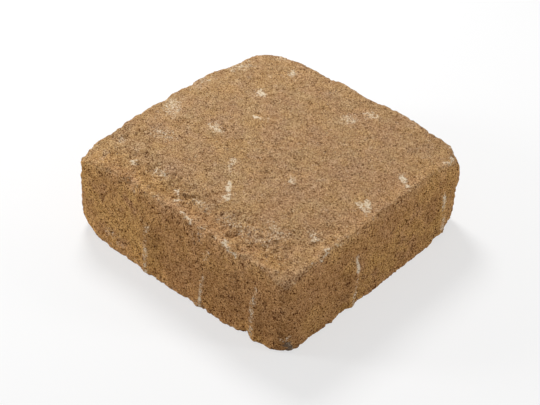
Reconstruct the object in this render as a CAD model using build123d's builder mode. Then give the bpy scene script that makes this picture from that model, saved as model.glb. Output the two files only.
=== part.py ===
"""A square cast concrete paver with worn, wavy sides and spacer nibs, in millimetres.

The origin is at the middle of the bed face, +Z points up out of the walked-on top.
Front is -Y and right is +X. Lists that follow the sides go counter-clockwise seen from
above: front, right, back, left. Lists that follow the corners start at the front right:
front right, back right, back left, front left.
"""
import math
import os

from build123d import *

# The body
width = 180.0            # across the bed, from side to side without the nibs
height = 60.0            # from the bed face to the middle of the top
lean = 1.6               # how far each side leans in from the bed up to the full height
arris_round = 1.0        # worn rounding between the top and the sides

# Corner radii in plan
front_right_bed_radius = 14.0
front_right_top_radius = 7.0
back_right_bed_radius = 21.0
back_right_top_radius = 8.0
back_left_bed_radius = 20.0
back_left_top_radius = 15.0
front_left_bed_radius = 24.0
front_left_top_radius = 7.0
foot_wear = 6            # power with which the corners grow rounder towards the bed

# How far the two sides that meet at a corner stand back there, the earlier side first
bed_backs = ((2.0, 0.3), (0.0, 0.0), (0.0, 2.0), (0.5, 0.0))
top_backs = ((0.0, 0.0), (0.0, 0.0), (0.0, 4.0), (0.8, 0.0))

# Waves: how far each side swells out (+) or in (-) at even steps from corner to corner
bed_waves = (
    (0.7, 1.1, 1.4, 1.4, 0.8, 0.6, -2.1),
    (0.1, -0.3, 0.0, 0.6, 0.7, 0.5, 0.6),
    (-0.4, 0.8, 1.2, -0.2, 0.9, 0.3, 0.6),
    (-1.8, 0.4, 0.9, 0.2, -0.6, 0.7, 0.1),
)
top_waves = (
    (-1.2, -1.8, -1.6, -0.7, -0.8, 1.5, 0.1),
    (-0.6, -0.6, -0.3, -0.9, -0.5, -1.2, -1.0),
    (-0.2, 2.0, 2.1, 0.0, 2.5, 0.7, 1.6),
    (-3.7, 0.3, 0.9, 1.2, 0.2, 0.3, -0.7),
)

# The top: almost flat, falling away a little to the arris and more at the corners
edge_drop = 0.3          # at the middle of each side
corner_drop = 9.0        # where the lines of two sides would cross, past the rounded corner
crown_spans = 12         # spans of the crown's surface, each way

# The chip off the back right corner: a slanting facet
chip_inset = 7.5         # from the corner inwards, at the full height
chip_fall = 13.5         # from the full height down the corner

# Heights of the outlines that the body is lofted through, above the bed
foot_level = 4.0         # the corners are worn most below this
knee_level = 13.0        # and are almost straight above this
spare = 5.0              # how far the blank stands above the full height before the crown is cut

# Spacer nibs, cast on the sides from the bed up
nib_crest = 4.0          # width of the flat crest
nib_spread = 2.25        # how far a flank spreads sideways for each millimetre of depth
nib_depth = 7.0          # from the crest to the nib's root, inside the body
nib_height = 44.0        # from the bed to the buried end of the sloping top
nib_slope = 12.0         # height of the sloping top
nib_edge = 0.8           # rounding along the crest's two edges

# The nibs of a side: the place from its middle, and how far the crest stands out
front_nibs = ((-21.5, 2.4), (23.0, 1.8), (66.5, 0.3))
right_nibs = ((-26.0, 1.7), (65.5, 1.7))
back_nibs = front_nibs   # the hidden sides repeat the seen ones, turned half round
left_nibs = right_nibs

half = width / 2
half_top = half - lean
bed_radii = (front_right_bed_radius, back_right_bed_radius, back_left_bed_radius, front_left_bed_radius)
top_radii = (front_right_top_radius, back_right_top_radius, back_left_top_radius, front_left_top_radius)


def blend(bed_values, top_values, share):
    """Values this share of the way from the bed's to the top's."""
    return [bed + (top - bed) * share for bed, top in zip(bed_values, top_values)]


def outline(level):
    """The body's outline at a level: four wavy sides joined by four round corners."""
    share = level / height
    reach = half - lean * share
    radii = blend(top_radii, bed_radii, (1 - share) ** foot_wear)
    backs = [blend(bed, top, share) for bed, top in zip(bed_backs, top_backs)]
    for quarter in range(4):
        waves = blend(bed_waves[quarter], top_waves[quarter], share)
        last_side_back, start_back = backs[quarter - 1]
        end_back, next_side_back = backs[quarter]
        # The side as if it were the front one, and then turned to its place
        start = -reach + last_side_back + radii[quarter - 1]
        end = reach - next_side_back - radii[quarter]
        points = [Vector(start, -reach + start_back)]
        for step, wave in enumerate(waves, start=1):
            points.append(Vector(start + (end - start) * step / (len(waves) + 1), -reach - wave))
        points.append(Vector(end, -reach + end_back))
        points = [point.rotate(Axis.Z, 90 * quarter) for point in points]
        along = Vector(1, 0).rotate(Axis.Z, 90 * quarter)
        side = Spline(*points, tangents=[along, along])
        JernArc(side @ 1, along, radii[quarter], 90)


def crown_height(x, y):
    """Height of the top above the bed at a point."""
    across = (x / half_top) ** 2
    along = (y / half_top) ** 2
    worn = across**2 + along**2 - across**2 * along**2
    return height - edge_drop * worn - corner_drop * (across * along) ** 3


# One nib, its crest in the plane y = 0 and its root behind it
with BuildPart() as nib:
    root = nib_crest / 2 + nib_spread * nib_depth
    with BuildSketch(Plane.XY):
        Polygon((-nib_crest / 2, 0), (nib_crest / 2, 0), (root, nib_depth), (-root, nib_depth), align=None)
    extrude(amount=nib_height)
    fillet(edges().filter_by(Axis.Z).group_by(Axis.Y)[0], radius=nib_edge)
    with BuildSketch(Plane.YZ):
        Polygon((0, 0), (nib_depth, 0), (nib_depth, nib_height), (0, nib_height - nib_slope), align=None)
    extrude(amount=root, both=True, mode=Mode.INTERSECT)

with BuildPart() as concrete_paver:
    # The blank, lofted from the bed up to past its full height
    for level in (0, foot_level, knee_level, height + spare):
        with BuildSketch(Plane.XY.offset(level)):
            with BuildLine():
                outline(level)
            make_face()
    loft(ruled=True)

    # The top is worn down to the crown's surface
    ticks = [(half + spare) * (2 * tick / crown_spans - 1) for tick in range(crown_spans + 1)]
    crown = Face.make_surface_from_array_of_points(
        [[Vector(x, y, crown_height(x, y)) for y in ticks] for x in ticks]
    )
    extrude(crown, amount=height, dir=(0, 0, 1), mode=Mode.SUBTRACT)
    fillet(faces().sort_by(Axis.Z)[-1].edges(), radius=arris_round)

    # The chipped corner
    corner_reach = math.sqrt(2) * half_top - (math.sqrt(2) - 1) * back_right_top_radius
    diagonal = Vector(1, 1).normalized()
    facet = Plane(
        origin=diagonal * corner_reach + Vector(0, 0, height - chip_fall),
        z_dir=diagonal * chip_fall + Vector(0, 0, chip_inset),
    )
    split(bisect_by=facet, keep=Keep.BOTTOM)

    # The nibs, side by side in turn from the front
    for quarter, nibs in enumerate((front_nibs, right_nibs, back_nibs, left_nibs)):
        for place, proud in nibs:
            with Locations(Location((0, 0, 0), (0, 0, 90 * quarter)) * Location((place, -half - proud, 0))):
                add(nib.part)

concrete_paver.part.label = "concrete_paver"

os.makedirs("parts", exist_ok=True)
export_step(concrete_paver.part, "parts/concrete_paver.step")
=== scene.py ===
import sys

import math

import bmesh
import bpy
import numpy as np
from mathutils import Matrix, Vector, kdtree, noise


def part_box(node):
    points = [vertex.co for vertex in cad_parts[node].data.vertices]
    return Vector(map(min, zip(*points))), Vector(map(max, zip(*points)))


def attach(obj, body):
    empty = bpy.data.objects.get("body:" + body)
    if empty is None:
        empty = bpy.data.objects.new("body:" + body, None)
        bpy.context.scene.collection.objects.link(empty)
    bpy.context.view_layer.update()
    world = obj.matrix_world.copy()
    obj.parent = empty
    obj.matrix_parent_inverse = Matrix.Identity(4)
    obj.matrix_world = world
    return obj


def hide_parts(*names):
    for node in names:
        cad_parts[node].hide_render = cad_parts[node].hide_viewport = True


# The looks of the concrete paver: worn arrises, chips, sandy relief and lime bloom, in a plain studio.
# Sizes and places are in millimetres where no other unit is named, and MM turns them into metres.
# Front is -Y and right is +X, as in the frame. The places of the marks are read off the photo.
MM = 0.001

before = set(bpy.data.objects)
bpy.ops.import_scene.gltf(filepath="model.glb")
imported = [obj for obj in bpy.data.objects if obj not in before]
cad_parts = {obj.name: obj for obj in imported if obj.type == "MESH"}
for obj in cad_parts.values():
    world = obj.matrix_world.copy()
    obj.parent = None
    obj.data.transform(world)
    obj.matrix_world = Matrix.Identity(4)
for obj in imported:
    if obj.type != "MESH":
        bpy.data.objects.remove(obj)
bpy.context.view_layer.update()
casting_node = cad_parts["concrete_paver"]
lowest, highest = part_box("concrete_paver")

# The mesh
weld_reach = 0.001          # points of the casting that are closer than this are one
mesh_step = 0.93            # spacing of the points over the top and the sides
bed_margin = 8.0            # how far in from the sides the bed keeps that spacing
bed_thinning = 2            # rounds of thinning of the bed's middle, which lies on the floor

# The sides are rubbed smooth over these heights, which softens the nibs
rubbed_levels = (5.0, 54.0)
rubbed_depth = 4.5          # how far in from the box a side can lie
rubbing_rounds = 24
rubbing_share = 0.5         # how far a round moves each point towards the middle of its neighbours

# Wear of the top arris and of the bed's edge: the radius that the edge is worn to
arris_wear = 1.2
bed_wear = 0.7
wear_spread = 1.0           # how much noise makes the radius swing, as a share of it
wear_patch = 7.0            # size of the patches in which it swings
edge_reach = 4.5            # how far from an edge it crumbles
edge_band = (0.3, 0.9)      # a point lies on an edge where its normal's height is between these
arris_level = 40.0          # the top arris and all that wears away with it are above this
foot_edge_level = 4.0       # the bed's edge is below this
foot_level = 8.0            # and all that wears away with it is below this
wear_fade = 0.5             # the outer share of a stretch's reach over which its own radius comes in

# Stretches of arris that are worn rounder: middle, reach, radius
arris_stretches = (
    ((-50, -88, 58), 32, 4.5),
    ((-15, -89, 59), 26, 3.0),
    ((-86, -20, 59), 60, 1.8),
    ((40, -89, 59), 22, 2.0),
)

# Dents are ragged, because noise makes their depth swing: by what share of it, and the size of its bumps
dent_swing = 0.5
dent_grain = 2.2

# Chips, notches and dents: from, to, radius, depth, and the direction that the surface is pushed in
dents = (
    # The foot of the front
    ((-85, -78, 0), (-77, -87, 0), 6.0, 3.2, (0, 0, 1)),
    ((-72, -90, 0), (-68, -91, 0), 4.0, 1.4, (0, 0, 1)),
    ((24, -92, 0), (25, -92, 0), 2.6, 1.8, (0, 0, 1)),
    ((44, -91, 0), (52, -91, 0), 5.0, 1.4, (0, -1, -0.3)),
    ((60, -92, 0), (60.5, -89, 1), 3.8, 9.0, (0, 0.2, 1)),
    ((66, -91, 0), (73, -90, 0), 4.0, 1.2, (0, 0, 1)),
    ((83, -88, 0), (86, -86, 0), 6.0, 1.6, (0, 0, 1)),
    # The foot of the right side
    ((91, -66, 0), (91, -62, 0), 4.0, 1.5, (0, 0, 1)),
    ((92, -38, 0), (92, -29, 0), 5.0, 2.4, (0, 0, 1)),
    ((92, -23, 0), (92, -19, 0), 4.0, 2.8, (0, 0, 1)),
    ((92, 56, 0), (92, 57, 0), 3.0, 1.4, (0, 0, 1)),
    ((92, -15, 0), (92, -13, 0), 3.5, 2.0, (0, 0, 1)),
    ((92, -52, 0), (92, -46, 0), 5.0, 1.0, (1, 0, -0.3)),
    ((92, 62, 0), (91, 66, 0), 4.6, 9.0, (0, 0, 1)),
    ((91, 73, 0), (85, 82, 0), 7.0, 5.5, (0, 0, 1)),
    # The corners
    ((92, 80, 2), (90, 82, 26), 12.0, 2.0, (-0.8, -0.6, 0)),
    ((-88, -82, 4), (-88, -80, 52), 11.0, 0.8, (0.8, 0.5, 0)),
    ((88, 82, 26), (87, 83, 27), 4.5, 2.4, (-0.7, -0.7, 0)),
    ((88, 80, 13), (87, 81, 14), 4.5, 2.0, (-0.7, -0.7, 0)),
    ((90, -89, 57), (87, -89, 58), 4.2, 1.6, (-0.5, 0.5, -0.7)),
    ((84, 84, 57), (88, 76, 56), 4.5, 1.6, (-0.5, -0.5, -0.7)),
    ((86, -80, 8), (82, -86, 12), 6.5, 1.3, (-0.7, 0.7, 0)),
    # Cracks and dips in the top
    ((-9, -72, 60), (-3, -69, 60), 1.8, 1.5, (0, 0, -1)),
    ((-28, -61, 60), (-21, -63, 60), 1.6, 1.2, (0, 0, -1)),
    ((8, -64, 60), (12, -62, 60), 1.8, 1.2, (0, 0, -1)),
    ((32, -57, 60), (35, -56, 60), 1.8, 1.1, (0, 0, -1)),
    ((32, -72, 60), (38, -82, 60), 2.2, 1.3, (0, 0, -1)),
    ((45, -82, 60), (50, -81, 60), 1.8, 1.4, (0, 0, -1)),
    ((41, -85, 60), (52, -86, 59), 2.4, 1.4, (0, 0.3, -1)),
    ((33, -23, 60), (37, -23, 60), 2.4, 0.9, (0, 0, -1)),
    ((68, -28, 60), (71, -29, 60), 2.2, 1.2, (0, 0, -1)),
    ((83, 4, 59), (84, 2, 59), 1.6, 1.2, (0, 0, -1)),
    ((-22, 12, 60), (-19, 12, 60), 2.0, 0.9, (0, 0, -1)),
    ((-64, 68, 60), (-61, 66, 60), 1.6, 1.0, (0, 0, -1)),
    ((-70, 13, 60), (-67, 13, 60), 2.2, 0.9, (0, 0, -1)),
    ((72, -55, 60), (76, -52, 60), 2.0, 1.0, (0, 0, -1)),
    ((70, -72, 60), (72, -74, 60), 1.6, 1.2, (0, 0, -1)),
    ((4, 62, 60), (5, 58, 60), 1.4, 0.8, (0, 0, -1)),
    ((10, 39, 60), (12, 38, 60), 1.8, 0.8, (0, 0, -1)),
)

# The rims of the marks are soft, and shifted by noise so that they are ragged
mark_spread = 1.35          # how far the soft rim of a mark reaches from its middle, in radii
broad_shift = 2.4           # how far the broad noise shifts a mark
broad_shift_size = 7.0      # and the size of that noise's bumps
fine_shift = 1.8            # the same of the fine noise
fine_shift_size = 2.6

# Lime bloom and specks, and along the front's foot a faint band that is partly painted light from the floor:
# from, to, radius, strength
lime_and_foot_light_marks = (
    ((-50, 75, 60), (-48, 75, 60), 3.5, 0.75),
    ((-49, 43, 60), (-46, 42, 60), 4.5, 0.80),
    ((-32, 19, 60), (-28, 20, 60), 2.4, 0.95),
    ((-26, 24, 60), (-26, 25, 60), 2.0, 0.80),
    ((-45, -7, 60), (-41, -8, 60), 5.5, 0.65),
    ((-39, -8, 60), (-38, -8, 60), 2.2, 0.95),
    ((-82, -8, 59), (-76, -14, 59), 9.0, 0.55),
    ((-85, 14, 59), (-84, 34, 59), 5.0, 0.30),
    ((-82, 50, 59), (-78, 64, 59), 5.0, 0.45),
    ((-68, 86, 59), (-60, 88, 59), 4.0, 0.45),
    ((-77, -60, 59), (-76, -60, 59), 4.0, 0.60),
    ((-64, -36, 60), (-60, -36, 60), 8.0, 0.45),
    ((-37, -65, 60), (-34, -66, 60), 5.5, 0.55),
    ((-54, -69, 60), (-54, -69, 60), 2.6, 0.90),
    ((6, -48, 60), (13, -56, 60), 2.1, 0.90),
    ((3, -44, 60), (7, -50, 60), 2.4, 1.05),
    ((-11, -25, 60), (-5, -34, 60), 2.4, 0.60),
    ((11, 62, 60), (15, 62, 60), 6.0, 0.50),
    ((18, 75, 60), (22, 74, 60), 5.0, 0.50),
    ((75, 38, 60), (78, 35, 60), 2.8, 0.85),
    ((78, 35, 60), (85, 32, 59), 1.8, 0.95),
    ((76, 1, 60), (79, -2, 60), 3.0, 0.85),
    ((73, -5, 60), (80, -7, 60), 3.0, 0.85),
    ((79, -7, 60), (84, -11, 59), 1.6, 0.95),
    ((28, -15, 60), (30, -15, 60), 2.6, 0.70),
    ((70, -44, 60), (74, -48, 60), 4.0, 0.60),
    ((49, -56, 60), (60, -60, 60), 6.0, 0.40),
    ((40, -72, 60), (44, -74, 60), 6.0, 0.35),
    ((26, -70, 60), (54, -70, 60), 8.0, 0.30),
    ((-2, -70, 60), (12, -72, 60), 3.5, 0.45),
    ((-16, -70, 60), (-8, -78, 60), 1.8, 0.75),
    ((-8, -78, 60), (-7, -78, 60), 2.6, 0.85),
    ((38, -85, 60), (41, -88, 59), 1.8, 1.00),
    ((41, -88, 59), (51, -89, 58), 1.7, 0.95),
    ((2, -86, 60), (12, -87, 60), 1.6, 0.80),
    ((12, -87, 59), (32, -88, 59), 1.7, 0.95),
    ((26, -90, 58), (31, -91, 56), 1.6, 1.00),
    ((-60, -86, 60), (-10, -86, 60), 1.6, 0.40),
    ((16, -91, 50), (24, -91, 56), 5.0, 0.40),
    ((26, -91, 41), (28, -91, 50), 4.0, 0.45),
    ((-38, -89, 57), (-36, -89, 56), 3.0, 1.60),
    # partly painted light, for light thrown up from the floor along the front's foot
    ((-70, -91, 2), (28, -91, 2), 5.0, 0.16),
    ((-58, -90, 12), (-45, -91, 10), 5.0, 0.30),
    ((89, -72, 59), (89, -30, 59), 1.6, 0.55),
    ((89, -30, 59), (89, 60, 59), 1.4, 0.40),
    ((86, 70, 57), (84, 84, 55), 2.0, 0.90),
    ((84, 84, 55), (76, 88, 55), 2.0, 0.80),
    ((87, -86, 59), (88, -82, 59), 2.8, 1.40),
    ((88, -64, 59), (88, -50, 59), 1.8, 0.95),
    ((88, -84, 14), (86, -87, 7), 1.5, 0.70),
    ((88, -83, 6), (89, -80, 2), 2.0, 0.45),
)

# Pale scuffs down the nib crests: side (0 is the front and 1 the right one), how far out from the middle,
# place along the side at the foot and at the top end, height of these two ends, radius, strength
nib_scuffs = (
    (0, 91.4, -22.5, -22.5, 0.0, 37.0, 2.4, 0.85),
    (0, 91.2, 23.6, 26.0, 0.0, 29.0, 1.7, 1.05),
    (0, 90.3, 64.5, 66.2, 0.0, 40.0, 2.2, 0.68),
    (1, 90.8, -23.5, -23.0, 28.0, 38.0, 2.2, 1.05),
    (1, 91.0, -25.0, -23.5, 0.0, 28.0, 1.8, 0.95),
    (1, 91.0, 65.0, 66.5, 26.0, 37.0, 2.3, 0.85),
    (1, 91.0, 67.5, 66.5, 8.0, 20.0, 2.4, 0.80),
)
scuff_lean = 1.0            # how far a scuff leans in from its foot to its top end
hidden_scuffs = 0.75        # how strong the guessed scuffs on the hidden sides are beside the seen ones
scuff_shift = 0.3           # how far noise shifts the scuffs, as a share of what it shifts other marks
scuff_patch = 6.0           # size of the patches in which they fade
scuff_contrast = 1.2        # how sharply the patches fade
scuff_least = 0.65          # what is left of a scuff where it fades most

# Darker places, painted shade with some stain: the flanks of the nibs that face the near corner, pits and
# chips at the corners, a band under the front's top edge, and the front darker towards the near corner.
# From, to, radius, strength
shade_and_stain_marks = (
    # painted shade, with some stain, on the flanks of the nibs that face the near corner
    ((-17, -91, 4), (-14, -91, 36), 9.0, 0.45),
    ((72, -91, 4), (72, -91, 30), 5.5, 0.40),
    ((32, -91, 4), (38, -91, 22), 8.0, 0.35),
    ((91, -33, 4), (91, -33, 34), 6.0, 0.35),
    ((91, 56, 20), (91, 58, 36), 6.0, 0.40),
    # darker by the near corner, and painted shade in chips and pits at the corners
    ((88, -88, 2), (88, -88, 22), 9.0, 0.65),
    ((90, -82, 30), (89, -88, 50), 7.0, 0.30),
    ((86, 80, 56), (80, 84, 56), 5.0, 0.30),
    ((85, -89, 58), (83, -90, 57), 2.2, 1.00),
    ((88, -87, 58), (88, -87, 56), 2.0, 1.20),
    # painted shade in a band under the front's top edge, and the front darker towards the near corner
    ((-2, -90, 50), (34, -90, 52), 7.0, 0.25),
    ((40, -91, 24), (76, -91, 26), 24.0, 0.30),
)

# Yellower (+) and browner (-) stretches: from, to, radius, strength
tint_marks = (
    ((-80, -90, 30), (-45, -90, 30), 45.0, 0.6),
    ((10, -90, 20), (70, -90, 30), 40.0, -0.5),
    ((90, -80, 30), (90, -50, 30), 40.0, -0.5),
    ((90, -10, 30), (90, 30, 30), 40.0, 0.5),
    ((-80, -60, 60), (-80, 60, 60), 50.0, 0.4),
    ((60, -40, 60), (70, 20, 60), 45.0, -0.4),
)

# Paler stretches of the sides: painted light along the foot, for light thrown up from the floor, and paler
# along the top edge. From, to, radius, strength
pale_and_painted_light_marks = (
    ((-80, -91, -1), (75, -91, -1), 16.0, 0.95),
    ((-80, -91, 62), (80, -91, 62), 12.0, 0.80),
    ((91, -80, 62), (91, 80, 62), 12.0, 0.60),
    ((91, -75, -1), (91, 75, -1), 8.0, 0.30),
)

# Stretches of the top with little dust: from, to, radius, strength
bare_marks = (
    ((-74, -78, 60), (76, -78, 60), 9.0, 0.60),
    ((80, -76, 60), (80, 74, 60), 8.0, 0.30),
    ((40, -70, 60), (70, -60, 60), 14.0, 0.30),
)
top_facing = (0.35, 0.80)   # the top begins and is full where a normal's height is at these
dusty_arris = 0.50          # the dust on the arris and just below it, as a share of that on the top
dusty_depth = 12.0          # how far down the sides the dust thins out

# Bare grey stones: from, to, radius, strength
stone_marks = (
    ((88, -81, 1), (87, -83, 6), 3.8, 1.10),
    ((82, 82, 56), (86, 76, 56), 4.0, 0.50),
    ((88, -88, 57), (84, -88, 58), 2.6, 0.60),
    ((11, 62, 60), (15, 62, 60), 5.0, 0.45),
)

# Rough stretches of the top, where the face was torn: from, to, radius, strength
rough_marks = (
    ((-60, -72, 60), (60, -72, 60), 17.0, 1.00),
    ((60, -60, 60), (80, -40, 60), 14.0, 0.60),
    ((-82, -60, 60), (-60, -40, 60), 14.0, 0.50),
    ((-30, -20, 60), (20, -20, 60), 26.0, 0.30),
)

# The relief, cut by geometry nodes: sizes and depths in metres. A share scales the depths of lumps, grain
# and pits. A start and a full level say where a noise begins to cut and where it cuts in full.
relief = {
    "Hollow Size": 24 * MM,
    "Hollow Depth": 0.9 * MM,
    "Lump Size": 7.0 * MM,
    "Lump Depth": 1.7 * MM,
    "Grain Size": 2.6 * MM,
    "Grain Depth": 1.4 * MM,
    "Pebble Size": 4.2 * MM,
    "Pebble Depth": 1.5 * MM,
    "Pit Size": 3.2 * MM,
    "Pit Depth": 0.8 * MM,
    "Crumb Size": 5.0 * MM,
    "Crumb Depth": 0.8 * MM,
    "Calm Share": 0.8,
    "Torn Share": 1.7,
    "Side Share": 1.2,
    "Pebble Start": 0.55,
    "Pebble Full": 1.25,
    "Pit Start": 0.60,
    "Pit Full": 0.68,
    "Crumb Start": 0.50,
    "Crumb Full": 0.62,
    "Swell": 0.85 * MM,
    "Seed": 4.0,
}

# Colours of the sandy concrete, linear
ochre = (0.482, 0.272, 0.093, 1)
umber = (0.404, 0.214, 0.084, 1)
rose_brown = (0.424, 0.229, 0.098, 1)
dusty_olive = (0.396, 0.254, 0.125, 1)
dusty_rose = (0.384, 0.238, 0.130, 1)
pale_clast = (0.500, 0.345, 0.205, 1)
lime = (0.740, 0.610, 0.440, 1)
thin_lime = (0.620, 0.445, 0.275, 1)
# painted shade, for the small holes and cavities
painted_pit_shade = (0.080, 0.023, 0.006, 1)
pale_sand = (0.620, 0.500, 0.330, 1)
bare_stone = (0.120, 0.098, 0.080, 1)

# What these colours are multiplied by in paler places with painted light, in places with painted shade and
# stain, and in clumps and grains of sand
paler_with_painted_light = (1.28, 1.26, 1.22, 1)
shade_and_stain = (0.72, 0.66, 0.57, 1)
clump_shade = (0.90, 0.88, 0.85, 1)
clump_light = (1.10, 1.12, 1.14, 1)
sand_shade = (0.55, 0.44, 0.345, 1)
sand_light = (1.54, 1.645, 1.79, 1)

# Patterns of the finish: size of the noise's bumps, octaves, seed, roughness, and the levels of noise where
# the pattern starts to show and where it shows in full
patterns = {
    "mottling": (30.0, 3, 1.0, 0.60, 0.34, 0.66),
    "rosy patches": (13.0, 3, 5.0, 0.60, 0.48, 0.70),
    "dust patches": (11.0, 4, 9.0, 0.60, 0.30, 0.75),
    "olive dust": (14.0, 4, 25.0, 0.60, 0.38, 0.62),
    "pale clasts": (6.5, 2, 71.0, 0.60, 0.62, 0.68),
    "haze": (3.5, 4, 27.0, 0.60, 0.38, 0.62),
    "clumps": (5.5, 4, 61.0, 0.65, 0.34, 0.66),
    "sand": (0.55, 1, 31.0, 0.60, 0.34, 0.66),
    "holes": (0.9, 1, 41.0, 0.60, 0.71, 0.75),
    "cavities": (1.8, 4, 81.0, 0.65, 0.66, 0.70),
    "pale grains": (1.2, 1, 51.0, 0.60, 0.66, 0.72),
    "bare stones": (1.6, 3, 13.0, 0.60, 0.92, 1.10),
    "lime specks": (1.1, 3, 17.0, 0.80, 0.63, 0.68),
}

# The same without the levels, for the noise that gathers the holes and for the fine and coarse bumps
hole_crowds = (4.5, 2, 45.0, 0.60)
sand_bumps = (0.95, 1, 31.0, 0.60)
lump_bumps = (2.2, 2, 21.0, 0.60)

# How far a mark, a place or another noise brings a pattern on, in levels of noise
tint_on_mottling = 0.16
tint_on_olive = 0.10
crowd_on_holes = 0.24
sides_on_holes = 0.02
rough_on_holes = 0.02
rough_on_cavities = 0.07
bloom_on_specks = 0.26

# How strongly the patterns show, from 0 to 1
thinnest_dust = 0.55
clast_strength = 0.45
thinnest_haze = 0.04
thickest_haze = 0.36
holes_on_sides = 1.00
holes_on_top = 0.85
cavity_strength = 0.65
grains_on_sides = 0.25
grains_on_top = 0.60
stone_strength = 0.75
full_specks = 0.15          # the bloom from which specks show in full

# The concrete's own bumps and sheen
bump_depth = 1.1
bump_strength = 0.7
concrete_roughness = 0.93
concrete_sheen = 0.06

# The floor, in metres
floor_size = 6.0
floor_gap = 0.05 * MM       # how far it lies below the bed, so that the two don't touch
floor_white = (0.9, 0.9, 0.9, 1)
floor_glow = 0.6            # how much of its look is a plain white glow, which lightens the shadow on it

# Light: the world's, and round soft lamps with their places and widths in metres and their power in watts
world_strength = 0.34
soft_boxes = (
    ("top_box", (-0.47, 0.25, 0.78), 0.32, 5.8),
    ("left_box", (-0.75, -0.68, 0.42), 0.30, 3.75),
    ("right_box", (1.08, 0.52, 0.50), 0.30, 3.7),
)

# The camera, as the photo was taken: angles in degrees
photo_width = 540           # pixels
focal_pixels = 1359.1
camera_azimuth = 39.488     # from the front towards the right side
camera_elevation = 38.365
camera_roll = 3.335
camera_distance = 883.7     # from the paver's middle
middle_height = 30.0        # of that middle, above the bed
middle_right_pixels = 1.2   # how far the middle is seen from the picture's own middle
middle_up_pixels = 15.8
sensor = 36.0               # its width
camera_clip = 10.0          # nothing nearer than this is seen


def smooth(values):
    """An even step from 0 to 1."""
    held = np.clip(values, 0.0, 1.0)
    return held * held * (3 - 2 * held)


def stroke(points, start, end, radius):
    """1 along a line between two places, falling softly to 0 at a radius from it."""
    start = np.array(start, float) * MM
    along = np.array(end, float) * MM - start
    squared = max(float(along @ along), sys.float_info.min)
    share = np.clip((points - start) @ along / squared, 0, 1)
    apart = np.linalg.norm(points - start - share[:, None] * along, axis=1)
    return smooth(1 - apart / (radius * MM))


def strokes(points, marks):
    """The strongest of several marks at each point."""
    shade = np.zeros(len(points))
    for start, end, radius, strength in marks:
        shade = np.maximum(shade, strength * stroke(points, start, end, radius * mark_spread))
    return shade


def waver(points, size, shift):
    """Noise about 0 at each point, with bumps of a size in millimetres. The shift stands for its seed."""
    scaled = points / (size * MM) + np.array(shift, float)
    return np.array([noise.noise(Vector(p)) for p in scaled])


def read_points(mesh):
    """A mesh's points and normals."""
    points = np.zeros(len(mesh.vertices) * 3)
    mesh.vertices.foreach_get("co", points)
    normals = np.zeros(len(mesh.vertices) * 3)
    mesh.vertex_normals.foreach_get("vector", normals)
    return points.reshape(-1, 3), normals.reshape(-1, 3)


def move_points(mesh, points):
    """Puts a mesh's points at new places, inside the casting's own box."""
    held = np.clip(points, np.array(lowest), np.array(highest))
    mesh.vertices.foreach_set("co", held.ravel())
    mesh.update()


def evaluated_mesh(piece):
    """The mesh that a piece's modifiers make, as a plain mesh."""
    graph = bpy.context.evaluated_depsgraph_get()
    made = bpy.data.meshes.new_from_object(piece.evaluated_get(graph))
    piece.modifiers.clear()
    piece.data = made
    return made


def thin_bed(shape):
    """Takes points out of the middle of the bed, which lies on the floor."""
    inner = highest.x - bed_margin * MM
    level = mesh_step * MM / 2
    bed = [v for v in shape.verts if v.co.z < level and max(abs(v.co.x), abs(v.co.y)) < inner]
    bmesh.ops.unsubdivide(shape, verts=bed, iterations=2 * bed_thinning)


def rub_sides(shape):
    """Smooths the sides, and the edges of the nibs with them."""
    low, high = (level * MM for level in rubbed_levels)
    outer = highest.x - rubbed_depth * MM
    sides = [v for v in shape.verts if low < v.co.z < high and max(abs(v.co.x), abs(v.co.y)) > outer]
    for _ in range(rubbing_rounds):
        bmesh.ops.smooth_vert(shape, verts=sides, factor=rubbing_share, use_axis_x=True, use_axis_y=True)


def even_casting():
    """The casting with its points evenly spaced, but for the middle of the bed, and its sides rubbed."""
    piece = bpy.data.objects.new("paver_casting", casting_node.data.copy())
    bpy.context.scene.collection.objects.link(piece)
    shape = bmesh.new()
    shape.from_mesh(piece.data)
    bmesh.ops.remove_doubles(shape, verts=shape.verts, dist=weld_reach * MM)
    shape.to_mesh(piece.data)
    shape.free()
    piece.data.materials.clear()
    remesh = piece.modifiers.new("even_points", "REMESH")
    remesh.mode = "VOXEL"
    remesh.voxel_size = mesh_step * MM
    mesh = evaluated_mesh(piece)

    shape = bmesh.new()
    shape.from_mesh(mesh)
    thin_bed(shape)
    rub_sides(shape)
    shape.to_mesh(mesh)
    shape.free()
    return piece


def worn_radius(point):
    """The radius that the arris is worn to near a point, before noise makes it swing."""
    radius = arris_wear
    for middle, reach, worn in arris_stretches:
        near = 1 - (point - Vector(middle) * MM).length / (reach * MM)
        if near > 0:
            radius += (worn - radius) * min(1.0, near / wear_fade)
    return radius


def round_depth(apart, radius):
    """How far in a point moves when the square edge at this distance from it is worn to a radius."""
    if apart >= radius:
        return 0.0
    reach = 2 * radius - apart
    return (reach - math.sqrt(reach**2 - 2 * (radius - apart) ** 2)) / math.sqrt(2)


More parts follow.
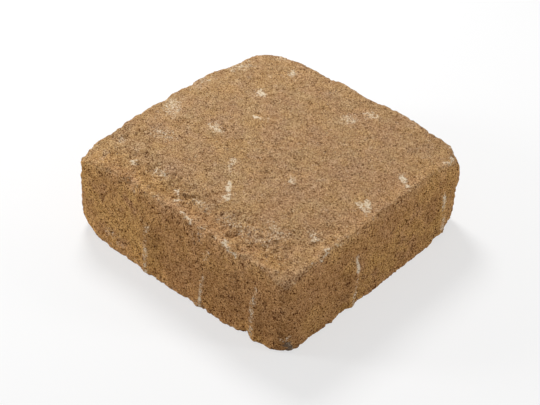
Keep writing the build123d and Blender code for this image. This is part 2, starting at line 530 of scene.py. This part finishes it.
def wear_edges(mesh):
    """Rounds the top arris and the bed's edge, here more and there less, and marks how near they are."""
    points, normals = read_points(mesh)
    low, high = edge_band
    levels = points[:, 2] / MM
    arris = (normals[:, 2] > low) & (normals[:, 2] < high) & (levels > arris_level)
    foot = (-normals[:, 2] > low) & (-normals[:, 2] < high) & (levels < foot_edge_level)
    moved = points.copy()
    closeness = np.zeros(len(points), np.float32)
    for band, on_top in ((arris, True), (foot, False)):
        rows = np.nonzero(band)[0]
        tree = kdtree.KDTree(len(rows))
        for row in rows:
            tree.insert(Vector(points[row]), int(row))
        tree.balance()
        near = levels > arris_level if on_top else levels < foot_level
        for row in np.nonzero(near)[0]:
            edge, nearest, apart = tree.find(Vector(points[row]))
            closeness[row] = max(0.0, 1 - apart / (edge_reach * MM))
            radius = worn_radius(edge) if on_top else bed_wear
            radius *= 1 + wear_spread * noise.noise(edge / (wear_patch * MM))
            moved[row] = points[row] - normals[nearest] * round_depth(apart, radius * MM)
    move_points(mesh, moved)
    mesh.attributes.new("edge", "FLOAT", "POINT").data.foreach_set("value", closeness)


def press_dents(mesh):
    """Pushes in the chips, notches and dents, with ragged sides."""
    points = read_points(mesh)[0]
    ragged = 1 + dent_swing * waver(points, dent_grain, (3, 1, 7))
    for start, end, radius, depth, direction in dents:
        way = np.array(direction, float) / np.linalg.norm(direction)
        push = stroke(points, start, end, radius) * depth * MM * ragged
        points = points + push[:, None] * way
    move_points(mesh, points)


def scuff_marks():
    """The scuffs down the nibs, on the seen sides and, turned half round, on the hidden ones."""
    marks = []
    for side, reach, foot_place, end_place, foot, end, radius, strength in nib_scuffs:
        for turn, share in ((side, 1.0), (side + 2, hidden_scuffs)):
            spin = Matrix.Rotation(turn * math.pi / 2, 3, "Z")
            start = spin @ Vector((foot_place, -reach, foot))
            stop = spin @ Vector((end_place, -reach + scuff_lean, end))
            marks.append((start, stop, radius, strength * share))
    return marks


def frayed(points):
    """The points shifted by noise, so that marks read off at them have ragged rims."""
    broad = [waver(points, broad_shift_size, (9 * axis, 2, 5)) for axis in range(3)]
    fine = [waver(points, fine_shift_size, (4, 9 * axis, 1)) for axis in range(3)]
    return points + broad_shift * MM * np.stack(broad, 1) + fine_shift * MM * np.stack(fine, 1)


def mark_surface(mesh):
    """Writes on the mesh where the finish changes: the top, dust, bloom, painted light, painted shade with
    stains, stones and so on.
    """
    points, normals = read_points(mesh)
    ragged = frayed(points)
    low, high = top_facing
    top_face = smooth((normals[:, 2] - low) / (high - low))
    below = smooth(1 - (highest.z - points[:, 2]) / (dusty_depth * MM)) * dusty_arris
    dust = np.maximum(top_face * (1 - strokes(ragged, bare_marks)), below * (1 - top_face))
    patchy = smooth(0.5 + scuff_contrast * waver(points, scuff_patch, (5, 8, 2)))
    scuffs = strokes(points + (ragged - points) * scuff_shift, scuff_marks())
    scuffs *= scuff_least + (1 - scuff_least) * patchy
    tint = np.zeros(len(points))
    for start, end, radius, strength in tint_marks:
        tint += strength * stroke(points, start, end, radius)
    shades = {
        "top_face": top_face,
        "dust": dust,
        "bloom": np.maximum(strokes(ragged, lime_and_foot_light_marks), scuffs),
        "painted_shade_and_stain": strokes(ragged, shade_and_stain_marks),
        "pale": strokes(points, pale_and_painted_light_marks),
        "stone": strokes(ragged, stone_marks),
        "rough": strokes(points, rough_marks),
        "tint": tint,
    }
    for name, values in shades.items():
        attribute = mesh.attributes.new(name, "FLOAT", "POINT")
        attribute.data.foreach_set("value", values.astype(np.float32))


def add_node(tree, kind, inputs=None, **settings):
    """Adds a node, gives it its settings, and joins or sets its inputs."""
    made = tree.nodes.new(kind)
    for name, value in settings.items():
        setattr(made, name, value)
    for name, value in (inputs or {}).items():
        if isinstance(value, bpy.types.NodeSocket):
            tree.links.new(value, made.inputs[name])
        else:
            made.inputs[name].default_value = value
    return made


def arithmetic(tree, operation, *values, clamp=False):
    """The result of one sum on numbers or sockets."""
    made = add_node(tree, "ShaderNodeMath", dict(enumerate(values)), operation=operation, use_clamp=clamp)
    return made.outputs[0]


def between(tree, value, low, high, low_result=0.0, high_result=1.0):
    """A value carried smoothly from one range to another."""
    inputs = {"Value": value, 1: low, 2: high, 3: low_result, 4: high_result}
    made = add_node(tree, "ShaderNodeMapRange", inputs, interpolation_type="SMOOTHSTEP")
    return made.outputs[0]


def blended(tree, share, first, second, kind="MIX"):
    """Two colours mixed by a share, on the sockets of the mix node that are for colours."""
    made = tree.nodes.new("ShaderNodeMix")
    made.data_type = "RGBA"
    made.blend_type = kind
    for socket, value in ((made.inputs[0], share), (made.inputs[6], first), (made.inputs[7], second)):
        if isinstance(value, bpy.types.NodeSocket):
            tree.links.new(value, socket)
        else:
            socket.default_value = value
    return made.outputs[2]


def relief_tree(finish):
    """Geometry nodes that give a smooth casting its hollows, lumps, grains, pebbles, pits and crumbs."""
    tree = bpy.data.node_groups.new("sandy_relief", "GeometryNodeTree")
    tree.interface.new_socket("Casting", in_out="INPUT", socket_type="NodeSocketGeometry")
    for name, value in relief.items():
        socket = tree.interface.new_socket(name, in_out="INPUT", socket_type="NodeSocketFloat")
        socket.default_value = value
    tree.interface.new_socket("Casting", in_out="OUTPUT", socket_type="NodeSocketGeometry")
    given = tree.nodes.new("NodeGroupInput").outputs
    place = tree.nodes.new("GeometryNodeInputPosition").outputs[0]
    facing = tree.nodes.new("GeometryNodeInputNormal").outputs[0]

    def finer(size_name):
        return arithmetic(tree, "DIVIDE", 1.0, given[size_name])

    def noise_at(size_name, offset, octaves):
        """Noise from 0 to 1. Its offset from the seed makes it unlike the others."""
        seed = arithmetic(tree, "ADD", given["Seed"], offset)
        inputs = {"Vector": place, "W": seed, "Scale": finer(size_name), "Detail": octaves}
        return add_node(tree, "ShaderNodeTexNoise", inputs, noise_dimensions="4D").outputs[0]

    def stored(name):
        made = add_node(tree, "GeometryNodeInputNamedAttribute", {"Name": name}, data_type="FLOAT")
        return made.outputs["Attribute"]

    def height_of(vector):
        return add_node(tree, "ShaderNodeSeparateXYZ", {0: vector}).outputs[2]

    def swing(size_name, depth_name, offset, octaves):
        """Noise about 0, as deep as its depth says."""
        centred = arithmetic(tree, "SUBTRACT", noise_at(size_name, offset, octaves), 0.5)
        return arithmetic(tree, "MULTIPLY", centred, given[depth_name])

    def cut(kind, level, scale):
        """How deep a kind of hole is cut where its noise is at a level."""
        share = between(tree, level, given[f"{kind} Start"], given[f"{kind} Full"])
        deepest = arithmetic(tree, "MULTIPLY", given[f"{kind} Depth"], scale)
        return arithmetic(tree, "MULTIPLY", share, deepest)

    # The sides are rougher than the calm parts of the top, and its torn parts are the roughest
    torn = stored("rough")
    edge = stored("edge")
    upright = arithmetic(tree, "SUBTRACT", 1.0, arithmetic(tree, "ABSOLUTE", height_of(facing)))
    rough = between(tree, torn, 0.0, 1.0, given["Calm Share"], given["Torn Share"])
    rough = arithmetic(tree, "MAXIMUM", rough, arithmetic(tree, "MULTIPLY", upright, given["Side Share"]))

    # Pebbles stand up because the gaps between them are cut
    hollow = swing("Hollow Size", "Hollow Depth", 0.0, 2.0)
    lump = arithmetic(tree, "MULTIPLY", swing("Lump Size", "Lump Depth", 3.0, 3.0), rough)
    grain = arithmetic(tree, "MULTIPLY", swing("Grain Size", "Grain Depth", 5.0, 2.0), rough)
    cells = {"Vector": place, "W": given["Seed"], "Scale": finer("Pebble Size"), "Detail": 1.0}
    gap = add_node(tree, "ShaderNodeTexVoronoi", cells, voronoi_dimensions="4D").outputs["Distance"]
    crowd = arithmetic(tree, "ADD", noise_at("Lump Size", 17.0, 1.0), torn)
    pebble = cut("Pebble", crowd, arithmetic(tree, "MULTIPLY", gap, gap))
    pit = cut("Pit", noise_at("Pit Size", 7.0, 1.0), rough)
    crumb = cut("Crumb", noise_at("Crumb Size", 11.0, 3.0), edge)

    # The sides and edges swell first, so that their relief stands about where the casting's own surface is
    swelling = arithmetic(tree, "MAXIMUM", upright, edge)
    outwards = arithmetic(tree, "MULTIPLY", swelling, given["Swell"])
    for depth in (hollow, lump, grain, pit, crumb, pebble):
        outwards = arithmetic(tree, "SUBTRACT", outwards, depth)
    shift = {0: facing, "Scale": outwards}
    shift = add_node(tree, "ShaderNodeVectorMath", shift, operation="SCALE").outputs[0]
    moved = add_node(tree, "GeometryNodeSetPosition", {"Geometry": given["Casting"], "Offset": shift})
    whole = add_node(tree, "GeometryNodeRealizeInstances", {"Geometry": moved.outputs[0]})
    dressed = add_node(tree, "GeometryNodeSetMaterial", {"Geometry": whole.outputs[0], "Material": finish})
    add_node(tree, "NodeGroupOutput", {"Casting": dressed.outputs[0]})
    return tree


def cut_relief(piece, finish):
    """Runs the relief on the piece and keeps the result as a plain mesh inside the casting's box."""
    modifier = piece.modifiers.new("sandy_relief", "NODES")
    modifier.node_group = relief_tree(finish)
    for socket in modifier.node_group.interface.items_tree:
        if socket.in_out == "INPUT" and socket.name in relief:
            modifier[socket.identifier] = relief[socket.name]
    mesh = evaluated_mesh(piece)
    move_points(mesh, read_points(mesh)[0])
    mesh.polygons.foreach_set("use_smooth", [True] * len(mesh.polygons))


def sandy_concrete():
    """Sandy cast concrete: mottled ochre and brown, dusty on top, with painted shade in its holes, sand and
    lime bloom, and patches of painted light and shade.
    """
    finish = bpy.data.materials.new("sandy_concrete")
    finish.use_nodes = True
    tree = finish.node_tree
    shader = tree.nodes["Principled BSDF"]
    place = tree.nodes.new("ShaderNodeTexCoord").outputs["Object"]

    def noise_level(size, octaves, seed, roughness):
        scale = 1 / (size * MM)
        inputs = {"Vector": place, "W": seed, "Scale": scale, "Detail": octaves, "Roughness": roughness}
        return add_node(tree, "ShaderNodeTexNoise", inputs, noise_dimensions="4D").outputs[0]

    def stored(name):
        return add_node(tree, "ShaderNodeAttribute", attribute_name=name).outputs["Fac"]

    def pattern(name, *pushes, least=0.0, most=1.0):
        """How strongly a pattern shows. Each push is a value and how far it brings the pattern on."""
        size, octaves, seed, roughness, begins, full = patterns[name]
        level = noise_level(size, octaves, seed, roughness)
        for pushed, reach in pushes:
            level = arithmetic(tree, "ADD", level, arithmetic(tree, "MULTIPLY", pushed, reach))
        return between(tree, level, begins, full, least, most)

    top_face = stored("top_face")
    rough = stored("rough")
    tint = stored("tint")
    bloom = stored("bloom")

    # Broad mottling, yellower or browner at the tinted places
    colour = blended(tree, pattern("mottling", (tint, tint_on_mottling)), umber, ochre)
    colour = blended(tree, pattern("rosy patches"), colour, rose_brown)

    # Dust lies on the top, but less where it is rubbed bare, and pale clasts show there
    dust = arithmetic(tree, "MULTIPLY", stored("dust"), pattern("dust patches", least=thinnest_dust))
    dusty = blended(tree, pattern("olive dust", (tint, tint_on_olive)), dusty_rose, dusty_olive)
    colour = blended(tree, dust, colour, dusty)
    clasts = arithmetic(tree, "MULTIPLY", pattern("pale clasts", most=clast_strength), top_face)
    colour = blended(tree, clasts, colour, pale_clast)

    # Lime bloom is a thin haze here, and specks further on. Along the front's foot it is partly painted
    # light
    haze = pattern("haze", least=thinnest_haze, most=thickest_haze)
    colour = blended(tree, arithmetic(tree, "MULTIPLY", bloom, haze, clamp=True), colour, thin_lime)

    # Clumps of sand, and then every grain a little lighter or darker
    clumps = blended(tree, pattern("clumps"), clump_shade, clump_light)
    colour = blended(tree, 1.0, colour, clumps, "MULTIPLY")
    sand = blended(tree, pattern("sand"), sand_shade, sand_light)
    colour = blended(tree, 1.0, colour, sand, "MULTIPLY")

    # Painted shade in small holes in loose crowds and in broader cavities, and a few pale grains
    on_sides = between(tree, top_face, 0.0, 1.0, sides_on_holes, 0.0)
    crowds = noise_level(*hole_crowds)
    holes = pattern("holes", (crowds, crowd_on_holes), (on_sides, 1.0), (rough, rough_on_holes))
    strength = between(tree, top_face, 0.0, 1.0, holes_on_sides, holes_on_top)
    colour = blended(tree, arithmetic(tree, "MULTIPLY", holes, strength), colour, painted_pit_shade)
    cavities = pattern("cavities", (rough, rough_on_cavities), most=cavity_strength)
    colour = blended(tree, cavities, colour, painted_pit_shade)
    strength = between(tree, top_face, 0.0, 1.0, grains_on_sides, grains_on_top)
    grains = arithmetic(tree, "MULTIPLY", pattern("pale grains"), strength)
    colour = blended(tree, grains, colour, pale_sand)

    # Paler places with painted light, painted shade with some stain, and bare stones
    colour = blended(tree, stored("pale"), colour, blended(tree, 1.0, colour, paler_with_painted_light, "MULTIPLY"))
    colour = blended(tree, stored("painted_shade_and_stain"), colour, blended(tree, 1.0, colour, shade_and_stain, "MULTIPLY"))
    stones = pattern("bare stones", (stored("stone"), 1.0), most=stone_strength)
    colour = blended(tree, stones, colour, bare_stone)

    # Specks of lime, crowded together where the bloom is strong
    specks = pattern("lime specks", (bloom, bloom_on_specks))
    specks = arithmetic(tree, "MULTIPLY", specks, between(tree, bloom, 0.0, full_specks))
    colour = blended(tree, specks, colour, lime)

    height = arithmetic(tree, "ADD", noise_level(*sand_bumps), noise_level(*lump_bumps))
    bump = {"Height": height, "Distance": bump_depth * MM, "Strength": bump_strength}
    facing = add_node(tree, "ShaderNodeBump", bump).outputs[0]
    tree.links.new(colour, shader.inputs["Base Color"])
    tree.links.new(facing, shader.inputs["Normal"])
    shader.inputs["Roughness"].default_value = concrete_roughness
    shader.inputs["Specular IOR Level"].default_value = concrete_sheen
    return finish


def seen_rays(tree):
    """1 for rays that see a thing, straight, in a mirror or through glass, and 0 for those that light it."""
    rays = tree.nodes.new("ShaderNodeLightPath")
    seen = arithmetic(tree, "MAXIMUM", rays.outputs["Is Camera Ray"], rays.outputs["Is Glossy Ray"])
    return arithmetic(tree, "MAXIMUM", seen, rays.outputs["Is Transmission Ray"])


def pale_floor():
    """A matt white floor that keeps the paver's shadow, and shows it lightly."""
    finish = bpy.data.materials.new("studio_white")
    finish.use_nodes = True
    tree = finish.node_tree
    shader = tree.nodes["Principled BSDF"]
    shader.inputs["Base Color"].default_value = floor_white
    shader.inputs["Roughness"].default_value = 1.0
    shader.inputs["Specular IOR Level"].default_value = 0.0
    glow = tree.nodes.new("ShaderNodeEmission")
    share = arithmetic(tree, "MULTIPLY", seen_rays(tree), floor_glow)
    mixed = add_node(tree, "ShaderNodeMixShader", {0: share, 1: shader.outputs[0], 2: glow.outputs[0]})
    tree.links.new(mixed.outputs[0], tree.nodes["Material Output"].inputs["Surface"])
    return finish


def make_paver():
    """The paver: the casting, worn, chipped and given its relief and finish."""
    piece = even_casting()
    wear_edges(piece.data)
    press_dents(piece.data)
    mark_surface(piece.data)
    cut_relief(piece, sandy_concrete())
    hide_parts("concrete_paver")
    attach(piece, "root")
    return piece


def soft_box(name, place, width, power):
    """A round soft lamp that faces the paver."""
    lamp = bpy.data.lights.new(name, "AREA")
    lamp.shape = "DISK"
    lamp.size = width
    lamp.energy = power
    holder = bpy.data.objects.new(name, lamp)
    holder.location = Vector(place)
    holder.rotation_euler = (-Vector(place)).to_track_quat("-Z", "Y").to_euler()
    bpy.context.scene.collection.objects.link(holder)


def studio():
    """A pale floor, soft lamps above and at both sides, and a backdrop that looks whiter than it lights."""
    bpy.ops.mesh.primitive_plane_add(size=floor_size, location=(0, 0, lowest.z - floor_gap))
    floor = bpy.context.object
    floor.name = "studio_floor"
    floor.data.materials.append(pale_floor())

    world = bpy.data.worlds.new("studio")
    bpy.context.scene.world = world
    world.use_nodes = True
    tree = world.node_tree
    strength = between(tree, seen_rays(tree), 0.0, 1.0, world_strength, 1.0)
    tree.nodes["Background"].inputs["Color"].default_value = (1, 1, 1, 1)
    tree.links.new(strength, tree.nodes["Background"].inputs["Strength"])

    for name, place, width, power in soft_boxes:
        soft_box(name, place, width, power)


def add_camera():
    """The camera where the photo was taken from, rolled and aimed as it was."""
    azimuth = math.radians(camera_azimuth)
    elevation = math.radians(camera_elevation)
    flat = math.cos(elevation)
    back = Vector((math.sin(azimuth) * flat, -math.cos(azimuth) * flat, math.sin(elevation)))
    right = Vector((math.cos(azimuth), math.sin(azimuth), 0))
    axes = Matrix((right, back.cross(right), back)).transposed()
    axes = axes @ Matrix.Rotation(math.radians(camera_roll), 3, "Z")
    sight = Vector((middle_right_pixels, middle_up_pixels, -focal_pixels))
    aim = Vector((0, 0, -1)).rotation_difference(sight)
    axes = axes @ aim.inverted().to_matrix()
    lens = bpy.data.cameras.new("photo_camera")
    lens.sensor_width = sensor
    lens.lens = focal_pixels / photo_width * sensor
    lens.clip_start = camera_clip * MM
    camera = bpy.data.objects.new("photo_camera", lens)
    middle = Vector((0, 0, middle_height)) * MM
    camera.matrix_world = Matrix.Translation(middle + back * camera_distance * MM) @ axes.to_4x4()
    bpy.context.scene.collection.objects.link(camera)
    bpy.context.scene.camera = camera


paver = make_paver()
studio()
add_camera()
bpy.context.scene.view_settings.view_transform = "Standard"

print("triangles", sum(len(face.vertices) - 2 for face in paver.data.polygons))
